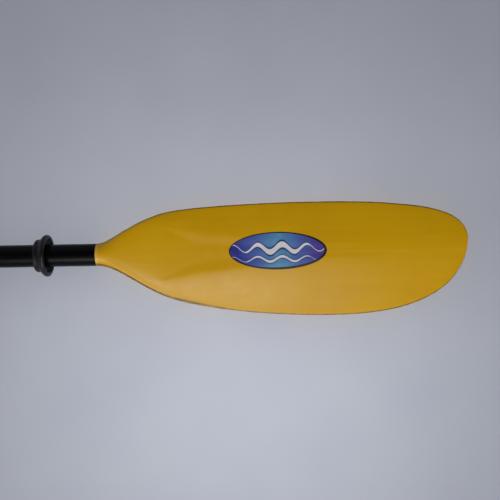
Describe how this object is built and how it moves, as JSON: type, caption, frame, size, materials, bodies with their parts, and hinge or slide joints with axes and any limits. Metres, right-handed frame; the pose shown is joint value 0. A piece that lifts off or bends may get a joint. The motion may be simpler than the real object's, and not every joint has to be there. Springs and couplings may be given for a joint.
{
  "type": "single blade paddle",
  "caption": "Take-apart single blade paddle: ridged asymmetric blade, drip ring, snap-button ferrule joint, telescoping handle tube with a lever clamp, and a T-grip.",
  "frame": {"origin": "on the shaft's axis, at the middle of the bare upper tube, where a holder's clip grips", "axes": "+X along the shaft to the blade's tip, +Y to the blade's short edge, +Z out of the power face"},
  "size_m": [1.4163, 0.1535, 0.056],
  "materials": {
    "blade_plastic": "satin moulded plastic",
    "decal": "printed film",
    "black_tube": "black anodised",
    "silver_tube": "clear anodised, satin",
    "soft_ring": "matt",
    "black_plastic": "fine moulded texture",
    "grey_plastic": "fine moulded texture",
    "foam": "closed-cell foam",
    "ferrule_sleeve": "ground glass-fibre tube",
    "steel": "stainless"
  },
  "bodies": {
    "blade_section": {"blade": "blade_plastic", "blade_label": "decal", "blade_rivets": "steel", "lower_tube": "black_tube", "lower_bung": "foam"},
    "ring": {"drip_ring": "soft_ring"},
    "upper_section": {"upper_tube": "black_tube", "ferrule": "ferrule_sleeve", "ferrule_cap": "black_plastic", "ferrule_o_ring": "soft_ring", "ferrule_rivets": "steel", "button_spring": "steel", "clamp_collar": "black_plastic", "clamp_washer": "steel", "clamp_stud": "steel", "clamp_nut": "steel", "lever_pin": "steel"},
    "button": {"snap_button": "steel"},
    "lever": {"clamp_lever": "grey_plastic"},
    "handle": {"handle_tube": "silver_tube", "handle_guide": "black_plastic", "t_grip": "black_plastic", "grip_pin": "steel"}
  },
  "joints": [
    {"name": "drip_ring_slide", "type": "slide", "parent": "blade_section", "child": "ring", "axis": [1, 0, 0], "range_m": [-0.2, 0.05]},
    {"name": "section_pull", "type": "slide", "parent": "blade_section", "child": "upper_section", "axis": [-1, 0, 0], "range_m": [0, 0.13]},
    {"name": "button_press", "type": "slide", "parent": "upper_section", "child": "button", "axis": [0, 0, -1], "range_m": [0, 0.0036], "stiffness_N_per_m": 1500, "springref_m": -0.003, "deforming": ["button_spring"]},
    {"name": "clamp_lever_swing", "type": "hinge", "parent": "upper_section", "child": "lever", "pos_m": [-0.2035, 0.024, 0.0142], "axis": [-1, 0, 0], "range_deg": [0, 110]},
    {"name": "handle_slide", "type": "slide", "parent": "upper_section", "child": "handle", "axis": [-1, 0, 0], "range_m": [0, 0.2]}
  ]
}
